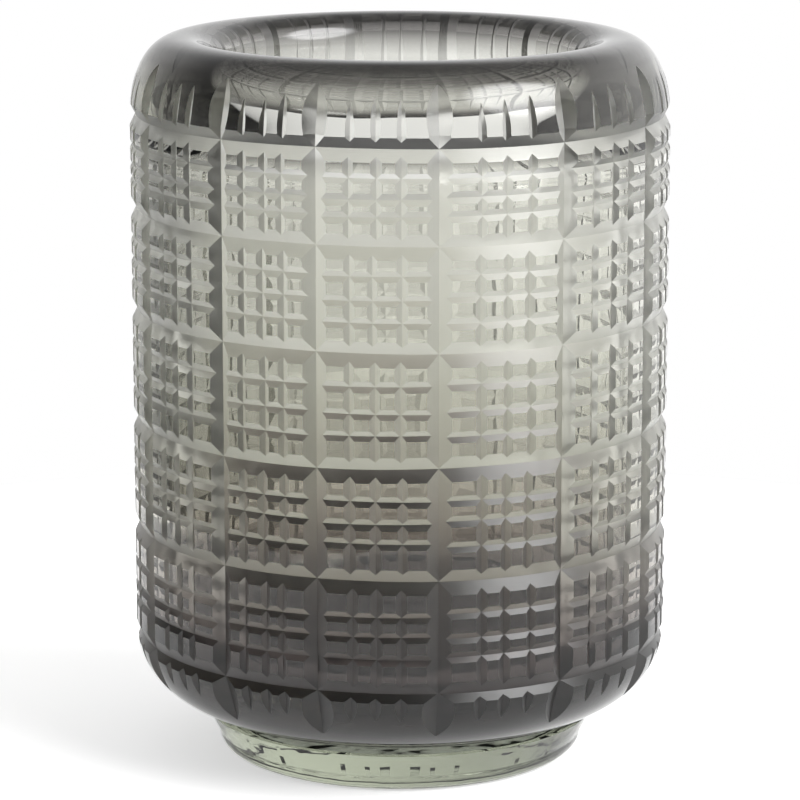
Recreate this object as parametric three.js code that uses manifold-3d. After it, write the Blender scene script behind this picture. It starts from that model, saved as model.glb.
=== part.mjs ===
// Cut-glass cylinder vase: a thick smoke-grey body with a rolled-in mouth, cut all round with a
// grid of V grooves, standing on a clear glass disc foot that is fused under it.
// Millimetres, +Z up. The origin is the centre of the resting face, and the vase's axis is Z.

import * as THREE from 'three';
import { mergeVertices } from 'three/addons/utils/BufferGeometryUtils.js';
import Module from 'manifold-3d';

const manifold = await Module();
manifold.setup();

// ---- Driving dimensions ----

const SEGMENTS = 56; // facets round the axis, four or so to each cut column
const CURVE_STEPS = { lower: 9, shoulder: 8, lip: 5, underLip: 6, floor: 6, foot: 5 };

const BODY_RADIUS = 90;
const HEIGHT = 243.5;
const FUSE_GAP = 0.3; // clearance that stands for the fused joint between body and foot

// The foot is a disc that tapers a little downwards, with a small bevel on top and a
// well-rounded lower edge.
const FOOT_TOP_RADIUS = 66;
const FOOT_BASE_RADIUS = 62;
const FOOT_HEIGHT = 14.5;
const FOOT_TOP_BEVEL = 0.6;
const FOOT_EDGE_ROUND = 6;
const CIRCULAR = 2; // exponent of a corner that is a true quarter circle

// Outside of the body: width and height of each rounded corner, and how square it is.
const SHOULDER = { width: 17.3, height: 28.2, exponent: 2.3 };
const LOWER_CURVE = { width: 44, height: 31.5, exponent: 2.4 };

// Inside of the body: the lip turns in to the mouth, then opens out to the bore.
const MOUTH_RADIUS = 61.5;
const MOUTH_LIP_DROP = 11; // from the crest down to the narrowest point of the mouth
const LIP_EXPONENT = 2.3;
const BORE_RADIUS = 78;
const BORE_TOP = 200; // height where the bore starts to narrow towards the mouth
const MOUTH_HANDLE = 11; // how far the wall runs straight down from the mouth before it opens
const BORE_HANDLE = 17; // and how far it runs straight up from the bore before it closes in
const FLOOR_HEIGHT = 34;
const FLOOR_CORNER = { width: 28, height: 22, exponent: 2.2 };

// V grooves. The slope is the rise of a groove wall for each unit of half width.
const GROOVE_DEPTH = 2;
const GROOVE_SLOPE = 0.48;
const GROOVE_OVERCUT = 4; // how far a cutter stands proud of the surface
const BAR_OVERLAP = 3; // how far each straight cutter runs on past a bend in the root

// Upright grooves, in degrees round the axis from -Y towards +X. The spacing is hand-cut.
const COLUMN_ANGLES = [
  -94, -67.5, -40.1, -17.5, 8, 36.1, 64.3, 93.5, 118.1, 142.8, 167.4, 192.1, 216.7, 241.4,
];
// Height and radius that the root of every upright groove passes through, from foot to shoulder.
const COLUMN_PATH = [
  { z: 18, r: 80 },
  { z: 42, r: BODY_RADIUS - GROOVE_DEPTH },
  { z: 222, r: BODY_RADIUS - GROOVE_DEPTH },
  { z: 242, r: 83.5 },
];

// Ring grooves, as heights above the resting face.
const RING_HEIGHTS = [41.6, 78.9, 115.6, 152.7, 186.9, 217.9];

// ---- Geometry helpers ----

// Points on a quarter of a superellipse between two perpendicular half axes given as [r, z].
function roundedCorner(centre, from, to, exponent, steps) {
  const points = [];
  for (let i = 0; i <= steps; i += 1) {
    const angle = (i / steps) * (Math.PI / 2);
    const a = Math.cos(angle) ** (2 / exponent);
    const b = Math.sin(angle) ** (2 / exponent);
    points.push(new THREE.Vector2(
      centre[0] + from[0] * a + to[0] * b,
      centre[1] + from[1] * a + to[1] * b,
    ));
  }
  return points;
}

// A closed three.js geometry as a manifold solid.
function toSolid(source) {
  const geometry = source.clone();
  geometry.deleteAttribute('normal');
  geometry.deleteAttribute('uv');
  const merged = mergeVertices(geometry, 1e-4);
  const corners = merged.index.array;
  const kept = [];
  for (let i = 0; i < corners.length; i += 3) {
    const [a, b, c] = corners.slice(i, i + 3);
    if (a !== b && b !== c && c !== a) {
      kept.push(a, b, c);
    }
  }
  const mesh = new manifold.Mesh({
    numProp: 3,
    vertProperties: new Float32Array(merged.attributes.position.array),
    triVerts: new Uint32Array(kept),
  });
  return new manifold.Manifold(mesh);
}

function toGeometry(solid) {
  const { vertProperties, triVerts } = solid.getMesh();
  const geometry = new THREE.BufferGeometry();
  geometry.setAttribute('position', new THREE.BufferAttribute(vertProperties, 3));
  geometry.setIndex(new THREE.BufferAttribute(triVerts, 1));
  geometry.computeVertexNormals();
  return geometry;
}

// A profile of (radius, height) points turned about the Z axis.
function turned(profile) {
  return new THREE.LatheGeometry(profile, SEGMENTS).rotateX(Math.PI / 2);
}

// ---- Body ----

function bodyProfile() {
  const underside = FOOT_HEIGHT + FUSE_GAP;
  const lowerTop = underside + LOWER_CURVE.height;
  const crestRadius = BODY_RADIUS - SHOULDER.width;
  const mouthHeight = HEIGHT - MOUTH_LIP_DROP;
  const underLip = new THREE.CubicBezierCurve(
    new THREE.Vector2(MOUTH_RADIUS, mouthHeight),
    new THREE.Vector2(MOUTH_RADIUS, mouthHeight - MOUTH_HANDLE),
    new THREE.Vector2(BORE_RADIUS, BORE_TOP + BORE_HANDLE),
    new THREE.Vector2(BORE_RADIUS, BORE_TOP),
  );
  return [
    new THREE.Vector2(0, underside),
    ...roundedCorner(
      [BODY_RADIUS - LOWER_CURVE.width, lowerTop],
      [0, -LOWER_CURVE.height], [LOWER_CURVE.width, 0],
      LOWER_CURVE.exponent, CURVE_STEPS.lower,
    ),
    ...roundedCorner(
      [crestRadius, HEIGHT - SHOULDER.height],
      [SHOULDER.width, 0], [0, SHOULDER.height],
      SHOULDER.exponent, CURVE_STEPS.shoulder,
    ),
    ...roundedCorner(
      [crestRadius, mouthHeight],
      [0, MOUTH_LIP_DROP], [MOUTH_RADIUS - crestRadius, 0],
      LIP_EXPONENT, CURVE_STEPS.lip,
    ).slice(1, -1),
    ...underLip.getPoints(CURVE_STEPS.underLip),
    ...roundedCorner(
      [BORE_RADIUS - FLOOR_CORNER.width, FLOOR_HEIGHT + FLOOR_CORNER.height],
      [FLOOR_CORNER.width, 0], [0, -FLOOR_CORNER.height],
      FLOOR_CORNER.exponent, CURVE_STEPS.floor,
    ),
    new THREE.Vector2(0, FLOOR_HEIGHT),
  ];
}

// A ring cutter: a triangle on its side, turned about the axis.
function ringCutter(height) {
  const root = BODY_RADIUS - GROOVE_DEPTH;
  const outer = BODY_RADIUS + GROOVE_OVERCUT;
  const halfWidth = (outer - root) / GROOVE_SLOPE;
  return turned([
    new THREE.Vector2(root, height),
    new THREE.Vector2(outer, height - halfWidth),
    new THREE.Vector2(outer, height + halfWidth),
    new THREE.Vector2(root, height),
  ]);
}

// A straight V-shaped bar whose root runs from one path point to the next, and a little past
// both, at -Y. The path only bends inwards, so the overlap never cuts deeper.
function barCutter(from, to) {
  const reach = GROOVE_DEPTH + GROOVE_OVERCUT;
  const halfWidth = reach / GROOVE_SLOPE;
  const section = new THREE.Shape([
    new THREE.Vector2(0, 0),
    new THREE.Vector2(-halfWidth, -reach),
    new THREE.Vector2(halfWidth, -reach),
  ]);
  const rise = to.z - from.z;
  const lean = to.r - from.r;
  const depth = Math.hypot(rise, lean) + 2 * BAR_OVERLAP;
  return new THREE.ExtrudeGeometry(section, { depth, bevelEnabled: false })
    .translate(0, 0, -BAR_OVERLAP)
    .rotateX(Math.atan2(lean, rise))
    .translate(0, -from.r, from.z);
}

function columnCutter(angle) {
  const bars = COLUMN_PATH.slice(1).map((to, i) => toSolid(
    barCutter(COLUMN_PATH[i], to).rotateZ(THREE.MathUtils.degToRad(angle)),
  ));
  return bars.reduce((whole, bar) => whole.add(bar));
}

function bodyGeometry() {
  let solid = toSolid(turned(bodyProfile()));
  for (const height of RING_HEIGHTS) {
    solid = solid.subtract(toSolid(ringCutter(height)));
  }
  for (const angle of COLUMN_ANGLES) {
    solid = solid.subtract(columnCutter(angle));
  }
  return toGeometry(solid);
}

// ---- Foot ----

function footGeometry() {
  const flatRadius = FOOT_BASE_RADIUS - FOOT_EDGE_ROUND;
  return toGeometry(toSolid(turned([
    new THREE.Vector2(0, 0),
    ...roundedCorner(
      [flatRadius, FOOT_EDGE_ROUND],
      [0, -FOOT_EDGE_ROUND], [FOOT_EDGE_ROUND, 0], CIRCULAR, CURVE_STEPS.foot,
    ),
    new THREE.Vector2(FOOT_TOP_RADIUS, FOOT_HEIGHT - FOOT_TOP_BEVEL),
    new THREE.Vector2(FOOT_TOP_RADIUS - FOOT_TOP_BEVEL, FOOT_HEIGHT),
    new THREE.Vector2(0, FOOT_HEIGHT),
  ])));
}

// ---- Materials and assembly ----

const smokeGlass = new THREE.MeshStandardMaterial({
  name: 'smoke_glass',
  color: 0x8f8f86,
  roughness: 0.12,
  metalness: 0,
  transparent: true,
  opacity: 0.75,
  flatShading: true,
});

const clearGlass = new THREE.MeshStandardMaterial({
  name: 'clear_glass',
  color: 0xc4ccbf,
  roughness: 0.05,
  metalness: 0,
  transparent: true,
  opacity: 0.5,
});

const vase = new THREE.Group();

const body = new THREE.Mesh(bodyGeometry(), smokeGlass);
body.name = 'cut_glass_body';
vase.add(body);

const foot = new THREE.Mesh(footGeometry(), clearGlass);
foot.name = 'clear_foot';
vase.add(foot);

export default vase;
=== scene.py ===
"""Cut-glass cylinder vase: the looks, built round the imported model.

The body is a turned glass form with every groove of the hand-cut grid cut into it as geometry,
the foot is a clear glass disc, and both stand on a pale floor in soft studio light.
Metres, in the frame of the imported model: +Z up, the viewer on the -Y side.
"""

import math
import random

import bpy
import numpy as np
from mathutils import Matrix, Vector


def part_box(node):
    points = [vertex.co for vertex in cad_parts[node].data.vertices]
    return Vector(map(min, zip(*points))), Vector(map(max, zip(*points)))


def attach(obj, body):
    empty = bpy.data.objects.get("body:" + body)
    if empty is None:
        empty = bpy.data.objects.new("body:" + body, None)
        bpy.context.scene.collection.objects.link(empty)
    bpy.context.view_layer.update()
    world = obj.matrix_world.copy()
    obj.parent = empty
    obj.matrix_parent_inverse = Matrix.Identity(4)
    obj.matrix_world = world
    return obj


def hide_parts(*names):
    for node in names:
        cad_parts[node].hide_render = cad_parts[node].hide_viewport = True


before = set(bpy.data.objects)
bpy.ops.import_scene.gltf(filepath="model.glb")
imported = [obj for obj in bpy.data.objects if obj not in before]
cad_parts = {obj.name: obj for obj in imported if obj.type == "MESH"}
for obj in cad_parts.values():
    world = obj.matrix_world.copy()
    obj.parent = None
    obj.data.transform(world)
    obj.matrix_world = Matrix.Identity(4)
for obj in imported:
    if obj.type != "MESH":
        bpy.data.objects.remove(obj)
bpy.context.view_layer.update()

# ---- Sizes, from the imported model's boxes and the vase's own proportions ----

BODY_LOW, BODY_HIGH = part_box("cut_glass_body")
FOOT_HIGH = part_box("clear_foot")[1]
MM = 0.001

RADIUS = BODY_HIGH.x
TOP = BODY_HIGH.z
UNDERSIDE = BODY_LOW.z
FOOT_TOP_RADIUS = FOOT_HIGH.x
FOOT_HEIGHT = FOOT_HIGH.z

# Rounded corners: width, height, and how square the curve is.
SHOULDER = (17.3 * MM, 28.2 * MM, 2.3)
LOWER_CURVE = (44 * MM, 31.5 * MM, 2.4)
FLOOR_CORNER = (28 * MM, 22 * MM, 2.2)
LIP = (11.2 * MM, 11 * MM, 2.3)
BORE_RADIUS = 78 * MM
BORE_TOP = 200 * MM
FLOOR_HEIGHT = 34 * MM
FOOT_BASE_RADIUS = 62 * MM
FOOT_EDGE_ROUND = 6 * MM
FOOT_TOP_BEVEL = 0.6 * MM

# The throat: a curve from the lip down to the bore, by the lengths of its two handles.
MOUTH_HANDLE = 11 * MM
BORE_HANDLE = 17 * MM

TURNED_SEGMENTS = 240
OUTER_STEPS = 28
LIP_STEPS = 18
INNER_STEPS = 20
FOOT_STEPS = 16
CIRCULAR = 2

# V grooves: the slope is how far a groove wall rises for each unit of half width.
GROOVE_SLOPE = 0.48
MAIN_DEPTH = 2.0 * MM
FINE_DEPTH = 0.88 * MM
CUTTER_PROUD = 2.5 * MM

# The main grid: upright grooves in degrees from -Y towards +X, rings as heights.
COLUMN_ANGLES = [
    -94, -67.5, -40.1, -17.5, 8, 36.1, 64.3, 93.5, 118.1, 142.8, 167.4, 192.1, 216.7, 241.4]
RING_HEIGHTS = [h * MM for h in (41.6, 78.9, 115.6, 152.7, 186.9, 217.9)]
RING_WANDER = 0.25 * MM

# Where the uprights leave the wall, as (height, radius of the root): the main ones at both ends.
WALL_TOP = 222 * MM
MAIN_RUN_IN = [(18 * MM, 80 * MM), (42 * MM, RADIUS - MAIN_DEPTH)]
MAIN_RUN_OUT = [(WALL_TOP, RADIUS - MAIN_DEPTH), (242 * MM, 83.5 * MM)]

# The fine leaves on the shoulder and the notches below the bottom ring, placed in the same way.
LEAF_DEPTH = 1.1 * FINE_DEPTH
LEAF_MIDDLE = (228 * MM, 88.2 * MM)
LEAF_TIP = (236 * MM, 86.4 * MM)
NOTCH_TIP = (29 * MM, 86.5 * MM)
NOTCH_TOP_RADIUS = 88.9 * MM

# Places of the fine cuts inside a cell, as shares of its width and height.
FINE_UPRIGHTS = (0.29, 0.49, 0.69)
FINE_LEVELS = (0.30, 0.51, 0.72)
FINE_LEVEL_STEPS = 12

# How far the hand of the cutter strays: shares of a cell, depths as shares, lengths.
SEED = 11
UPRIGHT_SPREAD = 0.02
CUT_SPREAD = 0.018
LEAF_SPREAD = 0.01
ROW_SPREAD = 0.03
DEPTH_SPREAD = (0.9, 1.12)
LEAF_RISE = 1 * MM
LEVEL_TILT = 0.4 * MM

# What counts as a face of the turned form: its distance from the profile, and how well it faces along it.
ON_PROFILE = 0.03 * MM
FACING = 0.97
SMOOTH_CORNER = 0.9
LEVEL_WALL_LIFT = 0.3
BORE_MARGIN = 0.1 * MM

# ---- Looks ----

GLASS_IOR = 1.5
POLISHED_ROUGHNESS = 0.01
GROUND_ROUGHNESS = 0.32

# The smoke glass: tint by height above the resting face, in metres. It is partly the glass's own smoke
# colour and partly painted light: painted shade darkens it towards the base and at the lip, and a painted
# lighter band lies just below the lip.
SMOKE_TINT_WITH_PAINTED_LIGHT = [
    (0.012, (0.015, 0.011, 0.011)),
    (0.034, (0.032, 0.025, 0.025)),
    (0.045, (0.10, 0.085, 0.08)),
    (0.055, (0.25, 0.22, 0.205)),
    (0.066, (0.40, 0.37, 0.34)),
    (0.080, (0.49, 0.475, 0.43)),
    (0.100, (0.61, 0.60, 0.54)),
    (0.116, (0.70, 0.70, 0.64)),
    (0.160, (0.84, 0.84, 0.795)),
    (0.200, (0.87, 0.87, 0.83)),
    (0.214, (0.94, 0.94, 0.91)),
    (0.229, (0.92, 0.92, 0.89)),
    (0.234, (0.45, 0.445, 0.43)),
    (0.2375, (0.07, 0.066, 0.066)),
    (0.241, (0.006, 0.0055, 0.0055)),
]
SMOKE_ABSORPTION = (0.50, 0.50, 0.44)
SMOKE_DENSITY = 16

# Relief of the body in millimetres: grinding marks in the cuts, and waves outside and in the bore.
GRINDING_DEPTH = 0.05
WAVE_DEPTHS = (0.15, 0.6)

# The clear glass of the foot.
CLEAR_TINT = (0.52, 0.55, 0.47)
CLEAR_ABSORPTION = (0.66, 0.68, 0.58)
CLEAR_DENSITY = 10
FOOT_WAVE_DEPTH = 0.7 * MM

# Noise scales along X, Y and Z: fine across a cut and long along it for the grinding marks.
GRIND_FINE, GRIND_LONG = 2600, 120
GRIND_DETAIL = 3
BODY_WAVE_SCALE = (28, 28, 45)
BODY_WAVE_DETAIL = 1
FOOT_WAVE_SCALE = (55, 55, 90)
FOOT_WAVE_DETAIL = 2

# ---- Studio ----

# Radiance round the vase by heading, in degrees from +Y towards +X: a wide white backdrop behind
# and to the right, and dimmer to the left and in front.
SIDE_LIGHT = [
    (-180, 0.12), (-110, 0.15), (-65, 0.15), (-25, 0.8), (25, 1.35), (110, 1.3), (150, 0.5), (180, 0.12)]
# The sides pass into an even overhead light between these heights on a sphere of radius 1.
OVERHEAD_LIGHT = 0.45
OVERHEAD_BLEND = (0.4, 0.8)
BRIGHTEST = 2.0  # the colour ramps hold shares of this

# The key light: a large round light to the front right, above the rim, with a soft edge between
# these distances from its middle on the same sphere.
KEY_DIRECTION = (0.703, -0.439, 0.559)
KEY_EDGE = (0.26, 0.42)
KEY_RADIANCE = 10

# The floor.
FLOOR_RADIUS = 420 * MM
PAPER_GLOW = 0.55
FLOOR_THICKNESS = 20 * MM
FLOOR_GAP = 0.2 * MM
FLOOR_SEGMENTS = 96
PAPER_COLOUR = (0.86, 0.86, 0.86, 1)
PAPER_ROUGHNESS = 0.9
WHITE = (1, 1, 1, 1)

# The camera: a long lens in front of the vase, tilted down onto its mouth.
CAMERA_PLACE = (0, -1.2789, 0.3902)
CAMERA_TILT = 11.952
CAMERA_LENS = 173.7
SENSOR_WIDTH = 36
CLIP_END = 50


# ---- Profiles ----

def rounded_corner(centre, start, end, exponent, steps):
    """Points on a quarter of a superellipse between two perpendicular half axes, as (r, z)."""
    points = []
    for i in range(steps + 1):
        angle = i / steps * math.pi / 2
        a = max(math.cos(angle), 0) ** (2 / exponent)
        b = math.sin(angle) ** (2 / exponent)
        points.append((centre[0] + start[0] * a + end[0] * b, centre[1] + start[1] * a + end[1] * b))
    return points


def bezier(p0, p1, p2, p3, steps):
    points = []
    for i in range(steps + 1):
        t = i / steps
        weights = ((1 - t) ** 3, 3 * t * (1 - t) ** 2, 3 * t * t * (1 - t), t ** 3)
        points.append(tuple(sum(w * p[k] for w, p in zip(weights, (p0, p1, p2, p3))) for k in (0, 1)))
    return points


def body_profile():
    lower_top = UNDERSIDE + LOWER_CURVE[1]
    crest = RADIUS - SHOULDER[0]
    mouth = crest - LIP[0]
    mouth_height = TOP - LIP[1]
    points = [(0, UNDERSIDE)]
    points += rounded_corner(
        (RADIUS - LOWER_CURVE[0], lower_top),
        (0, -LOWER_CURVE[1]), (LOWER_CURVE[0], 0), LOWER_CURVE[2], OUTER_STEPS)
    points += rounded_corner(
        (crest, TOP - SHOULDER[1]), (SHOULDER[0], 0), (0, SHOULDER[1]), SHOULDER[2], OUTER_STEPS)
    points += rounded_corner((crest, mouth_height), (0, LIP[1]), (-LIP[0], 0), LIP[2], LIP_STEPS)[1:-1]
    points += bezier(
        (mouth, mouth_height), (mouth, mouth_height - MOUTH_HANDLE),
        (BORE_RADIUS, BORE_TOP + BORE_HANDLE), (BORE_RADIUS, BORE_TOP), INNER_STEPS)
    points += rounded_corner(
        (BORE_RADIUS - FLOOR_CORNER[0], FLOOR_HEIGHT + FLOOR_CORNER[1]),
        (FLOOR_CORNER[0], 0), (0, -FLOOR_CORNER[1]), FLOOR_CORNER[2], INNER_STEPS)
    points.append((0, FLOOR_HEIGHT))
    return points


def foot_profile():
    flat = FOOT_BASE_RADIUS - FOOT_EDGE_ROUND
    points = [(0, 0)]
    points += rounded_corner(
        (flat, FOOT_EDGE_ROUND), (0, -FOOT_EDGE_ROUND), (FOOT_EDGE_ROUND, 0), CIRCULAR, FOOT_STEPS)
    points += [(FOOT_TOP_RADIUS, FOOT_HEIGHT - FOOT_TOP_BEVEL)]
    points += [(FOOT_TOP_RADIUS - FOOT_TOP_BEVEL, FOOT_HEIGHT), (0, FOOT_HEIGHT)]
    return points


# ---- Meshes ----

def place(radius, angle, height):
    """A point at an angle in degrees, measured from -Y towards +X."""
    turn = math.radians(angle)
    return (radius * math.sin(turn), -radius * math.cos(turn), height)


def turned(profile, segments=TURNED_SEGMENTS):
    """Vertices and faces of a profile turned about Z; its first and last points are on the axis."""
    rings = profile[1:-1]
    verts = [(0, 0, profile[0][1])]
    for radius, height in rings:
        verts += [place(radius, 360 * s / segments, height) for s in range(segments)]
    verts.append((0, 0, profile[-1][1]))
    last = len(verts) - 1
    faces = []
    for s in range(segments):
        t = (s + 1) % segments
        faces.append((0, 1 + t, 1 + s))
        for k in range(len(rings) - 1):
            a, b = 1 + k * segments, 1 + (k + 1) * segments
            faces.append((a + s, a + t, b + t, b + s))
        top = 1 + (len(rings) - 1) * segments
        faces.append((top + s, top + t, last))
    return verts, faces


def swept(sections, closed=False):
    """A bar with a triangular section: each section is three points, root first."""
    verts = [p for section in sections for p in section]
    count = len(sections)
    faces = []
    for k in range(count if closed else count - 1):
        a, b = 3 * k, 3 * ((k + 1) % count)
        for i in range(3):
            j = (i + 1) % 3
            faces.append((a + i, b + i, b + j, a + j))
    if not closed:
        faces.append((0, 1, 2))
        end = 3 * (count - 1)
        faces.append((end + 2, end + 1, end))
    return verts, faces


def upright_cutter(angle, path):
    """A V groove up the wall: path holds (height, radius of the root)."""
    turn = math.radians(angle)
    out = Vector((math.sin(turn), -math.cos(turn), 0))
    side = Vector((math.cos(turn), math.sin(turn), 0))
    sections = []
    for height, root in path:
        mouth = RADIUS + CUTTER_PROUD - root
        half = mouth / GROOVE_SLOPE
        base = out * root + Vector((0, 0, height))
        rim = out * (root + mouth) + Vector((0, 0, height))
        sections.append((tuple(base), tuple(rim + side * half), tuple(rim - side * half)))
    return swept(sections)


def level_cutter(angles, heights, depth, closed=False):
    """A V groove round the wall, through the given angles and heights."""
    root = RADIUS - depth
    outer = RADIUS + CUTTER_PROUD
    half = (outer - root) / GROOVE_SLOPE
    sections = [
        (place(root, a, h), place(outer, a, h - half), place(outer, a, h + half))
        for a, h in zip(angles, heights)
    ]
    return swept(sections, closed)


def mesh_object(name, parts):
    """One object from a list of (vertices, faces)."""
    verts, faces = [], []
    for part_verts, part_faces in parts:
        start = len(verts)
        verts += part_verts
        faces += [tuple(start + i for i in face) for face in part_faces]
    mesh = bpy.data.meshes.new(name)
    mesh.from_pydata(verts, [], faces)
    obj = bpy.data.objects.new(name, mesh)
    bpy.context.scene.collection.objects.link(obj)
    return obj


def cut(obj, parts):
    """Subtracts cutters that don't overlap each other."""
    cutter = mesh_object("cutter", parts)
    modifier = obj.modifiers.new("cut", "BOOLEAN")
    modifier.operation = "DIFFERENCE"
    modifier.solver = "MANIFOLD"
    modifier.object = cutter
    depsgraph = bpy.context.evaluated_depsgraph_get()
    result = bpy.data.meshes.new_from_object(obj.evaluated_get(depsgraph))
    obj.modifiers.remove(modifier)
    old = obj.data
    obj.data = result
    bpy.data.meshes.remove(old)
    mesh = cutter.data
    bpy.data.objects.remove(cutter)
    bpy.data.meshes.remove(mesh)


# ---- The cut pattern ----

def column_spans():
    """Each column of cells, as the angles of the upright grooves on its two sides."""
    following = COLUMN_ANGLES[1:] + [COLUMN_ANGLES[0] + 360]
    return list(zip(COLUMN_ANGLES, following))


def main_uprights():
    return [upright_cutter(angle, MAIN_RUN_IN + MAIN_RUN_OUT) for angle in COLUMN_ANGLES]


def main_rings(rng):
    angles = [360 * s / TURNED_SEGMENTS for s in range(TURNED_SEGMENTS)]
    rings = []
    for height in RING_HEIGHTS:
        phase = rng.uniform(0, math.tau)
        heights = []
        for angle in angles:
            turn = math.radians(angle)
            wander = math.sin(2 * turn + phase) + 0.5 * math.sin(5 * turn - phase)
            heights.append(height + RING_WANDER * wander)
        rings.append(level_cutter(angles, heights, MAIN_DEPTH, closed=True))
    return rings


def about(rng, spread):
    return rng.uniform(-spread, spread)


def fine_uprights(rng):
    """Three in each cell, three leaves above the top ring and three notches below the bottom ring."""
    cutters = []
    leaf_root = RADIUS - LEAF_DEPTH
    for left, right in column_spans():
        for share in FINE_UPRIGHTS:
            column_share = share + about(rng, UPRIGHT_SPREAD)
            for low, high in zip(RING_HEIGHTS, RING_HEIGHTS[1:]):
                angle = left + (right - left) * (column_share + about(rng, CUT_SPREAD))
                root = RADIUS - FINE_DEPTH * rng.uniform(*DEPTH_SPREAD)
                cutters.append(upright_cutter(angle, [(low, root), (high, root)]))
            angle = left + (right - left) * (column_share + about(rng, LEAF_SPREAD))
            rise = about(rng, LEAF_RISE)
            cutters.append(upright_cutter(angle, [
                (RING_HEIGHTS[-1], leaf_root),
                (WALL_TOP, leaf_root),
                (LEAF_MIDDLE[0] + rise, LEAF_MIDDLE[1]),
                (LEAF_TIP[0] + rise, LEAF_TIP[1]),
            ]))
            angle = left + (right - left) * (column_share + about(rng, LEAF_SPREAD))
            cutters.append(upright_cutter(angle, [
                (NOTCH_TIP[0] + rise, NOTCH_TIP[1]),
                (RING_HEIGHTS[0], NOTCH_TOP_RADIUS),
            ]))
    return cutters


def fine_levels(rng):
    """Three level cuts across each cell, slightly out of true."""
    cutters = []
    row_shares = [[s + about(rng, ROW_SPREAD) for s in FINE_LEVELS] for _ in RING_HEIGHTS[1:]]
    along = [k / FINE_LEVEL_STEPS for k in range(FINE_LEVEL_STEPS + 1)]
    for left, right in column_spans():
        angles = [left + (right - left) * t for t in along]
        for (low, high), shares in zip(zip(RING_HEIGHTS, RING_HEIGHTS[1:]), row_shares):
            for share in shares:
                height = low + (high - low) * (share + about(rng, CUT_SPREAD))
                tilt = about(rng, LEVEL_TILT)
                heights = [height + tilt * (t - 0.5) for t in along]
                depth = FINE_DEPTH * rng.uniform(*DEPTH_SPREAD)
                cutters.append(level_cutter(angles, heights, depth))
    return cutters


# ---- Surfaces ----

def profile_normals(profile, radii, heights):
    """Outward normals, as (radial, vertical), and distances of the nearest points on a turned profile."""
    points = np.array(profile)
    step = points[1:] - points[:-1]
    length = np.maximum(np.linalg.norm(step, axis=1), 1e-12)
    flat = np.stack([step[:, 1], -step[:, 0]], axis=1) / length[:, None]
    corner = np.zeros_like(points)
    corner[:-1] += flat
    corner[1:] += flat
    turn = np.ones(len(points))
    turn[1:-1] = np.sum(flat[1:] * flat[:-1], axis=1)
    corner /= np.linalg.norm(corner, axis=1)[:, None]
    query = np.stack([radii, heights], axis=1)
    best = np.full(len(query), 1e9)
    normal = np.zeros((len(query), 2))
    for k in range(len(step)):
        offset = query - points[k]
        t = np.clip(offset @ step[k] / length[k] ** 2, 0, 1)
        distance = np.linalg.norm(offset - t[:, None] * step[k], axis=1)
        start = corner[k] if turn[k] > SMOOTH_CORNER else flat[k]
        end = corner[k + 1] if turn[k + 1] > SMOOTH_CORNER else flat[k]
        value = (1 - t)[:, None] * start + t[:, None] * end
        nearer = distance < best
        best[nearer] = distance[nearer]
        normal[nearer] = value[nearer]
    return normal / np.linalg.norm(normal, axis=1)[:, None], best


def finish_surface(obj, profile):
    """Marks each face as polished or ground, and gives polished faces the turned form's own normals."""
    mesh = obj.data
    count = len(mesh.vertices)
    co = np.zeros(count * 3)
    mesh.vertices.foreach_get("co", co)
    co = co.reshape(-1, 3)
    radii = np.hypot(co[:, 0], co[:, 1])
    normal2, distance = profile_normals(profile, radii, co[:, 2])
    safe = np.maximum(radii, 1e-9)
    radial = np.stack([co[:, 0] / safe, co[:, 1] / safe, np.zeros(count)], axis=1)
    smooth = radial * normal2[:, :1] + np.array([0, 0, 1]) * normal2[:, 1:]

    faces = len(mesh.polygons)
    face_normal = np.zeros(faces * 3)
    mesh.polygons.foreach_get("normal", face_normal)
    face_normal = face_normal.reshape(-1, 3)
    loops = len(mesh.loops)
    loop_vert = np.zeros(loops, int)
    mesh.loops.foreach_get("vertex_index", loop_vert)
    totals = np.zeros(faces, int)
    mesh.polygons.foreach_get("loop_total", totals)
    face_of_loop = np.repeat(np.arange(faces), totals)

    facing = np.sum(smooth[loop_vert] * face_normal[face_of_loop], axis=1)
    on_form = (distance[loop_vert] < ON_PROFILE) & (facing > FACING)
    polished = np.ones(faces, bool)
    np.logical_and.at(polished, face_of_loop, on_form)

    normals = face_normal[face_of_loop]
    keep = polished[face_of_loop]
    normals[keep] = smooth[loop_vert][keep]
    # Walls of level cuts are cones: they turn with the wall, at the slope that the cut gave them.
    level = (~keep) & (np.abs(face_normal[face_of_loop][:, 2]) > LEVEL_WALL_LIFT)
    outward = radial[loop_vert][level]
    lift = face_normal[face_of_loop][level][:, 2:]
    normals[level] = outward * np.sqrt(1 - lift ** 2) + np.array([0, 0, 1]) * lift

    mesh.polygons.foreach_set("use_smooth", np.ones(faces, bool))
    mesh.normals_split_custom_set([tuple(n) for n in normals])
    in_bore = (
        (radii < BORE_RADIUS + BORE_MARGIN)
        & (co[:, 2] > FLOOR_HEIGHT - BORE_MARGIN)
        & (co[:, 2] < TOP - LIP[1] + BORE_MARGIN)
    )
    lining = np.ones(faces, bool)
    np.logical_and.at(lining, face_of_loop, in_bore[loop_vert])
    mark_faces(mesh, "ground", ~polished)
    mark_faces(mesh, "level_cut", np.abs(face_normal[:, 2]) > LEVEL_WALL_LIFT)
    mark_faces(mesh, "lining", lining)


def mark_faces(mesh, name, flags):
    attribute = mesh.attributes.new(name, "FLOAT", "FACE")
    attribute.data.foreach_set("value", flags.astype(np.float32))


def build_body():
    rng = random.Random(SEED)
    profile = body_profile()
    body = mesh_object("vase_body", [turned(profile)])
    cut(body, main_uprights())
    cut(body, main_rings(rng))
    uprights = fine_uprights(rng)
    cut(body, uprights[0::2])
    cut(body, uprights[1::2])
    levels = fine_levels(rng)
    cut(body, levels[0::2])
    cut(body, levels[1::2])
    finish_surface(body, profile)
    return body


def build_foot():
    profile = foot_profile()
    foot = mesh_object("vase_foot", [turned(profile)])
    finish_surface(foot, profile)
    return foot


# ---- Materials ----

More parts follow.
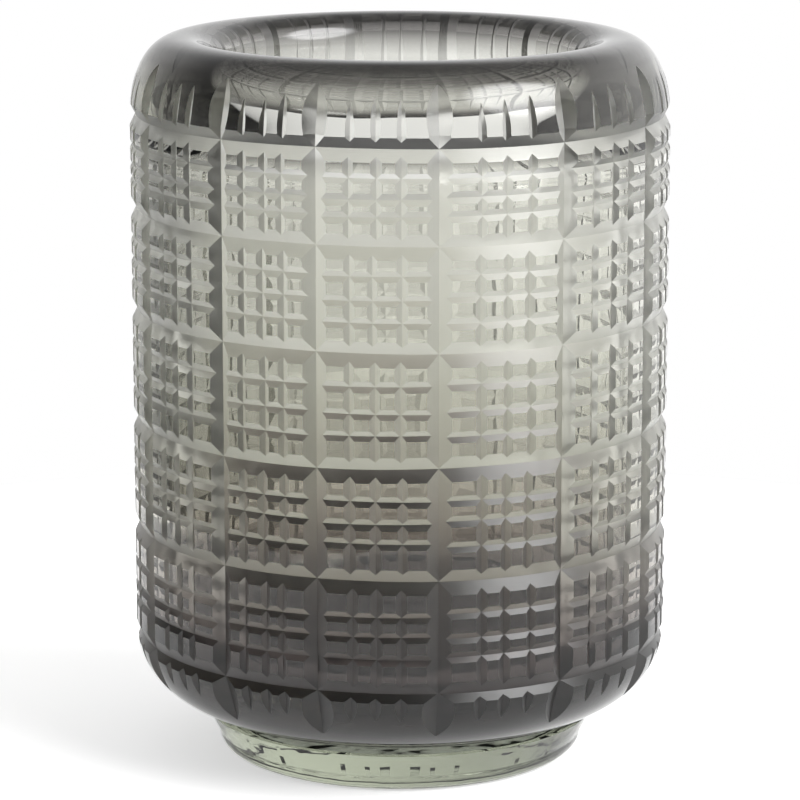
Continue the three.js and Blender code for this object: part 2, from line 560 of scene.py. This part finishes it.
def node(tree, kind, **values):
    made = tree.nodes.new(kind)
    for key, value in values.items():
        setattr(made, key, value)
    return made


def feed(tree, socket, value):
    """Sets a socket to a number, or links another socket to it."""
    if isinstance(value, (int, float)):
        socket.default_value = value
    else:
        tree.links.new(value, socket)


def maths(tree, operation, first, second):
    made = node(tree, "ShaderNodeMath", operation=operation)
    feed(tree, made.inputs[0], first)
    feed(tree, made.inputs[1], second)
    return made.outputs[0]


def blend(tree, factor, first, second):
    made = node(tree, "ShaderNodeMix", data_type="FLOAT")
    for socket, value in ((made.inputs[0], factor), (made.inputs[2], first), (made.inputs[3], second)):
        feed(tree, socket, value)
    return made.outputs[0]


def glass(name, absorption, density):
    """A material of clear polished glass that absorbs light inside."""
    material = bpy.data.materials.new(name)
    material.use_nodes = True
    tree = material.node_tree
    shader = tree.nodes["Principled BSDF"]
    shader.inputs["Transmission Weight"].default_value = 1
    shader.inputs["IOR"].default_value = GLASS_IOR
    shader.inputs["Roughness"].default_value = POLISHED_ROUGHNESS
    volume = node(tree, "ShaderNodeVolumeAbsorption")
    volume.inputs["Color"].default_value = (*absorption, 1)
    volume.inputs["Density"].default_value = density
    tree.links.new(volume.outputs["Volume"], tree.nodes["Material Output"].inputs["Volume"])
    return material, tree, shader


def height_ramp(tree, stops):
    """Colour by height above the resting face: stops are (height in metres, colour)."""
    place_node = node(tree, "ShaderNodeTexCoord")
    split = node(tree, "ShaderNodeSeparateXYZ")
    scale = node(tree, "ShaderNodeMath", operation="DIVIDE")
    ramp = node(tree, "ShaderNodeValToRGB")
    scale.inputs[1].default_value = TOP
    tree.links.new(place_node.outputs["Object"], split.inputs[0])
    tree.links.new(split.outputs["Z"], scale.inputs[0])
    tree.links.new(scale.outputs[0], ramp.inputs["Fac"])
    elements = ramp.color_ramp.elements
    while len(elements) < len(stops):
        elements.new(0.5)
    for element, (height, colour) in zip(elements, stops):
        element.position = height / TOP
        element.color = (*colour, 1)
    return ramp.outputs["Color"]


def face_mark(tree, name):
    return node(tree, "ShaderNodeAttribute", attribute_name=name).outputs["Fac"]


def map_range(tree, value, low, high):
    made = node(tree, "ShaderNodeMapRange")
    made.inputs["To Min"].default_value = low
    made.inputs["To Max"].default_value = high
    tree.links.new(value, made.inputs["Value"])
    return made.outputs["Result"]


def scaled_noise(tree, scale, detail):
    """Noise in the vase's own space, with its own scale along each axis."""
    where = node(tree, "ShaderNodeTexCoord")
    stretch = node(tree, "ShaderNodeMapping")
    stretch.inputs["Scale"].default_value = scale
    noise = node(tree, "ShaderNodeTexNoise")
    noise.inputs["Scale"].default_value = 1
    noise.inputs["Detail"].default_value = detail
    tree.links.new(where.outputs["Object"], stretch.inputs["Vector"])
    tree.links.new(stretch.outputs[0], noise.inputs["Vector"])
    return noise.outputs["Fac"]


def glass_relief(tree, ground, lining):
    """Relief in millimetres: grinding marks along the cuts, and the soft waves of blown glass."""
    along_level = scaled_noise(tree, (GRIND_LONG, GRIND_LONG, GRIND_FINE), GRIND_DETAIL)
    along_upright = scaled_noise(tree, (GRIND_FINE, GRIND_FINE, GRIND_LONG), GRIND_DETAIL)
    marks = blend(tree, face_mark(tree, "level_cut"), along_upright, along_level)
    grinding = maths(tree, "MULTIPLY", maths(tree, "MULTIPLY", marks, ground), GRINDING_DEPTH)
    wave_depth = map_range(tree, lining, *WAVE_DEPTHS)
    wave = scaled_noise(tree, BODY_WAVE_SCALE, BODY_WAVE_DETAIL)
    waves = maths(tree, "MULTIPLY", wave, wave_depth)
    bump = node(tree, "ShaderNodeBump")
    bump.inputs["Distance"].default_value = MM
    tree.links.new(maths(tree, "ADD", grinding, waves), bump.inputs["Height"])
    return bump.outputs["Normal"]


def smoke_glass():
    """Smoke glass, partly its own colour and partly painted light: painted shade darkens it to plum at
    the base and at the thick lip, and a painted lighter band lies below the lip; the cut facets are
    ground.
    """
    material, tree, shader = glass("vase_smoke_glass", SMOKE_ABSORPTION, SMOKE_DENSITY)
    ground = face_mark(tree, "ground")
    roughness = map_range(tree, ground, POLISHED_ROUGHNESS, GROUND_ROUGHNESS)
    relief = glass_relief(tree, ground, face_mark(tree, "lining"))
    # The tint by height is partly painted light: painted shade at the base and the lip, and a painted
    # lighter band below the lip.
    tree.links.new(height_ramp(tree, SMOKE_TINT_WITH_PAINTED_LIGHT), shader.inputs["Base Color"])
    tree.links.new(roughness, shader.inputs["Roughness"])
    tree.links.new(relief, shader.inputs["Normal"])
    return material


def clear_glass():
    """Thick clear glass with a green-grey cast and the soft waves of hand work."""
    material, tree, shader = glass("vase_clear_glass", CLEAR_ABSORPTION, CLEAR_DENSITY)
    shader.inputs["Base Color"].default_value = (*CLEAR_TINT, 1)
    bump = node(tree, "ShaderNodeBump")
    bump.inputs["Distance"].default_value = FOOT_WAVE_DEPTH
    tree.links.new(scaled_noise(tree, FOOT_WAVE_SCALE, FOOT_WAVE_DETAIL), bump.inputs["Height"])
    tree.links.new(bump.outputs["Normal"], shader.inputs["Normal"])
    return material


def assign(obj, material):
    obj.data.materials.clear()
    obj.data.materials.append(material)


# ---- Stage: floor, light and camera ----

def by_heading(tree, vector, stops):
    """Radiance by heading, in degrees from +Y towards +X, round the vase."""
    split = node(tree, "ShaderNodeSeparateXYZ")
    swap = node(tree, "ShaderNodeCombineXYZ")
    radial = node(tree, "ShaderNodeTexGradient", gradient_type="RADIAL")
    ramp = node(tree, "ShaderNodeValToRGB")
    tree.links.new(vector, split.inputs[0])
    tree.links.new(split.outputs["Y"], swap.inputs["X"])
    tree.links.new(split.outputs["X"], swap.inputs["Y"])
    tree.links.new(swap.outputs[0], radial.inputs[0])
    tree.links.new(radial.outputs["Fac"], ramp.inputs["Fac"])
    ramp.color_ramp.interpolation = "EASE"
    elements = ramp.color_ramp.elements
    while len(elements) < len(stops):
        elements.new(0.5)
    for element, (heading, radiance) in zip(elements, stops):
        element.position = heading / 360 + 0.5
        element.color = (*[radiance / BRIGHTEST] * 3, 1)
    return maths(tree, "MULTIPLY", ramp.outputs["Color"], BRIGHTEST)


def smooth_step(tree, value, start, end, low, high):
    made = node(tree, "ShaderNodeMapRange", interpolation_type="SMOOTHSTEP")
    for name, number in (("From Min", start), ("From Max", end), ("To Min", low), ("To Max", high)):
        made.inputs[name].default_value = number
    tree.links.new(value, made.inputs["Value"])
    return made.outputs["Result"]


def distance_to(tree, vector, point):
    made = node(tree, "ShaderNodeVectorMath", operation="DISTANCE")
    tree.links.new(vector, made.inputs[0])
    made.inputs[1].default_value = point
    return made.outputs["Value"]


def by_camera_ray(tree, for_camera, for_others, out):
    path = node(tree, "ShaderNodeLightPath")
    mix = node(tree, "ShaderNodeMixShader")
    tree.links.new(path.outputs["Is Camera Ray"], mix.inputs[0])
    tree.links.new(for_others, mix.inputs[1])
    tree.links.new(for_camera, mix.inputs[2])
    tree.links.new(mix.outputs[0], out.inputs["Surface"])


def build_floor():
    """A plain pale sheet of paper under the vase and all round it."""
    low, high = -FLOOR_THICKNESS, -FLOOR_GAP
    outline = [(0, low), (FLOOR_RADIUS, low), (FLOOR_RADIUS, high), (0, high)]
    floor = mesh_object("floor", [turned(outline, FLOOR_SEGMENTS)])
    material = bpy.data.materials.new("floor_paper")
    material.use_nodes = True
    paper = material.node_tree.nodes["Principled BSDF"]
    paper.inputs["Base Color"].default_value = PAPER_COLOUR
    paper.inputs["Roughness"].default_value = PAPER_ROUGHNESS
    paper.inputs["Emission Color"].default_value = WHITE
    paper.inputs["Emission Strength"].default_value = PAPER_GLOW
    assign(floor, material)


def build_world():
    """White behind the vase as the camera sees it, and soft studio light on the vase."""
    world = bpy.data.worlds.new("studio")
    bpy.context.scene.world = world
    world.use_nodes = True
    tree = world.node_tree
    tree.nodes.clear()
    direction = node(tree, "ShaderNodeTexCoord").outputs["Generated"]
    split = node(tree, "ShaderNodeSeparateXYZ")
    tree.links.new(direction, split.inputs[0])
    overhead = smooth_step(tree, split.outputs["Z"], *OVERHEAD_BLEND, 0.0, 1.0)
    total = blend(tree, overhead, by_heading(tree, direction, SIDE_LIGHT), OVERHEAD_LIGHT)
    off_key = distance_to(tree, direction, KEY_DIRECTION)
    key = smooth_step(tree, off_key, *KEY_EDGE, KEY_RADIANCE, 0.0)
    studio = node(tree, "ShaderNodeBackground")
    tree.links.new(maths(tree, "ADD", total, key), studio.inputs["Strength"])
    studio.inputs["Color"].default_value = WHITE
    seen = node(tree, "ShaderNodeBackground")
    seen.inputs["Color"].default_value = WHITE
    by_camera_ray(tree, seen.outputs[0], studio.outputs[0], node(tree, "ShaderNodeOutputWorld"))


def build_camera():
    camera_data = bpy.data.cameras.new("camera")
    camera_data.lens = CAMERA_LENS
    camera_data.sensor_width = SENSOR_WIDTH
    camera_data.clip_end = CLIP_END
    camera = bpy.data.objects.new("camera", camera_data)
    camera.location = CAMERA_PLACE
    camera.rotation_euler = (math.radians(90 - CAMERA_TILT), 0, 0)
    bpy.context.scene.collection.objects.link(camera)
    bpy.context.scene.camera = camera


# ---- Assembly ----

build_camera()
build_floor()
build_world()

body = build_body()
assign(body, smoke_glass())
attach(body, "root")
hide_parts("cut_glass_body")

foot = build_foot()
assign(foot, clear_glass())
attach(foot, "root")
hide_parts("clear_foot")

scene = bpy.context.scene
scene.view_settings.view_transform = "Standard"
scene.cycles.use_denoising = True
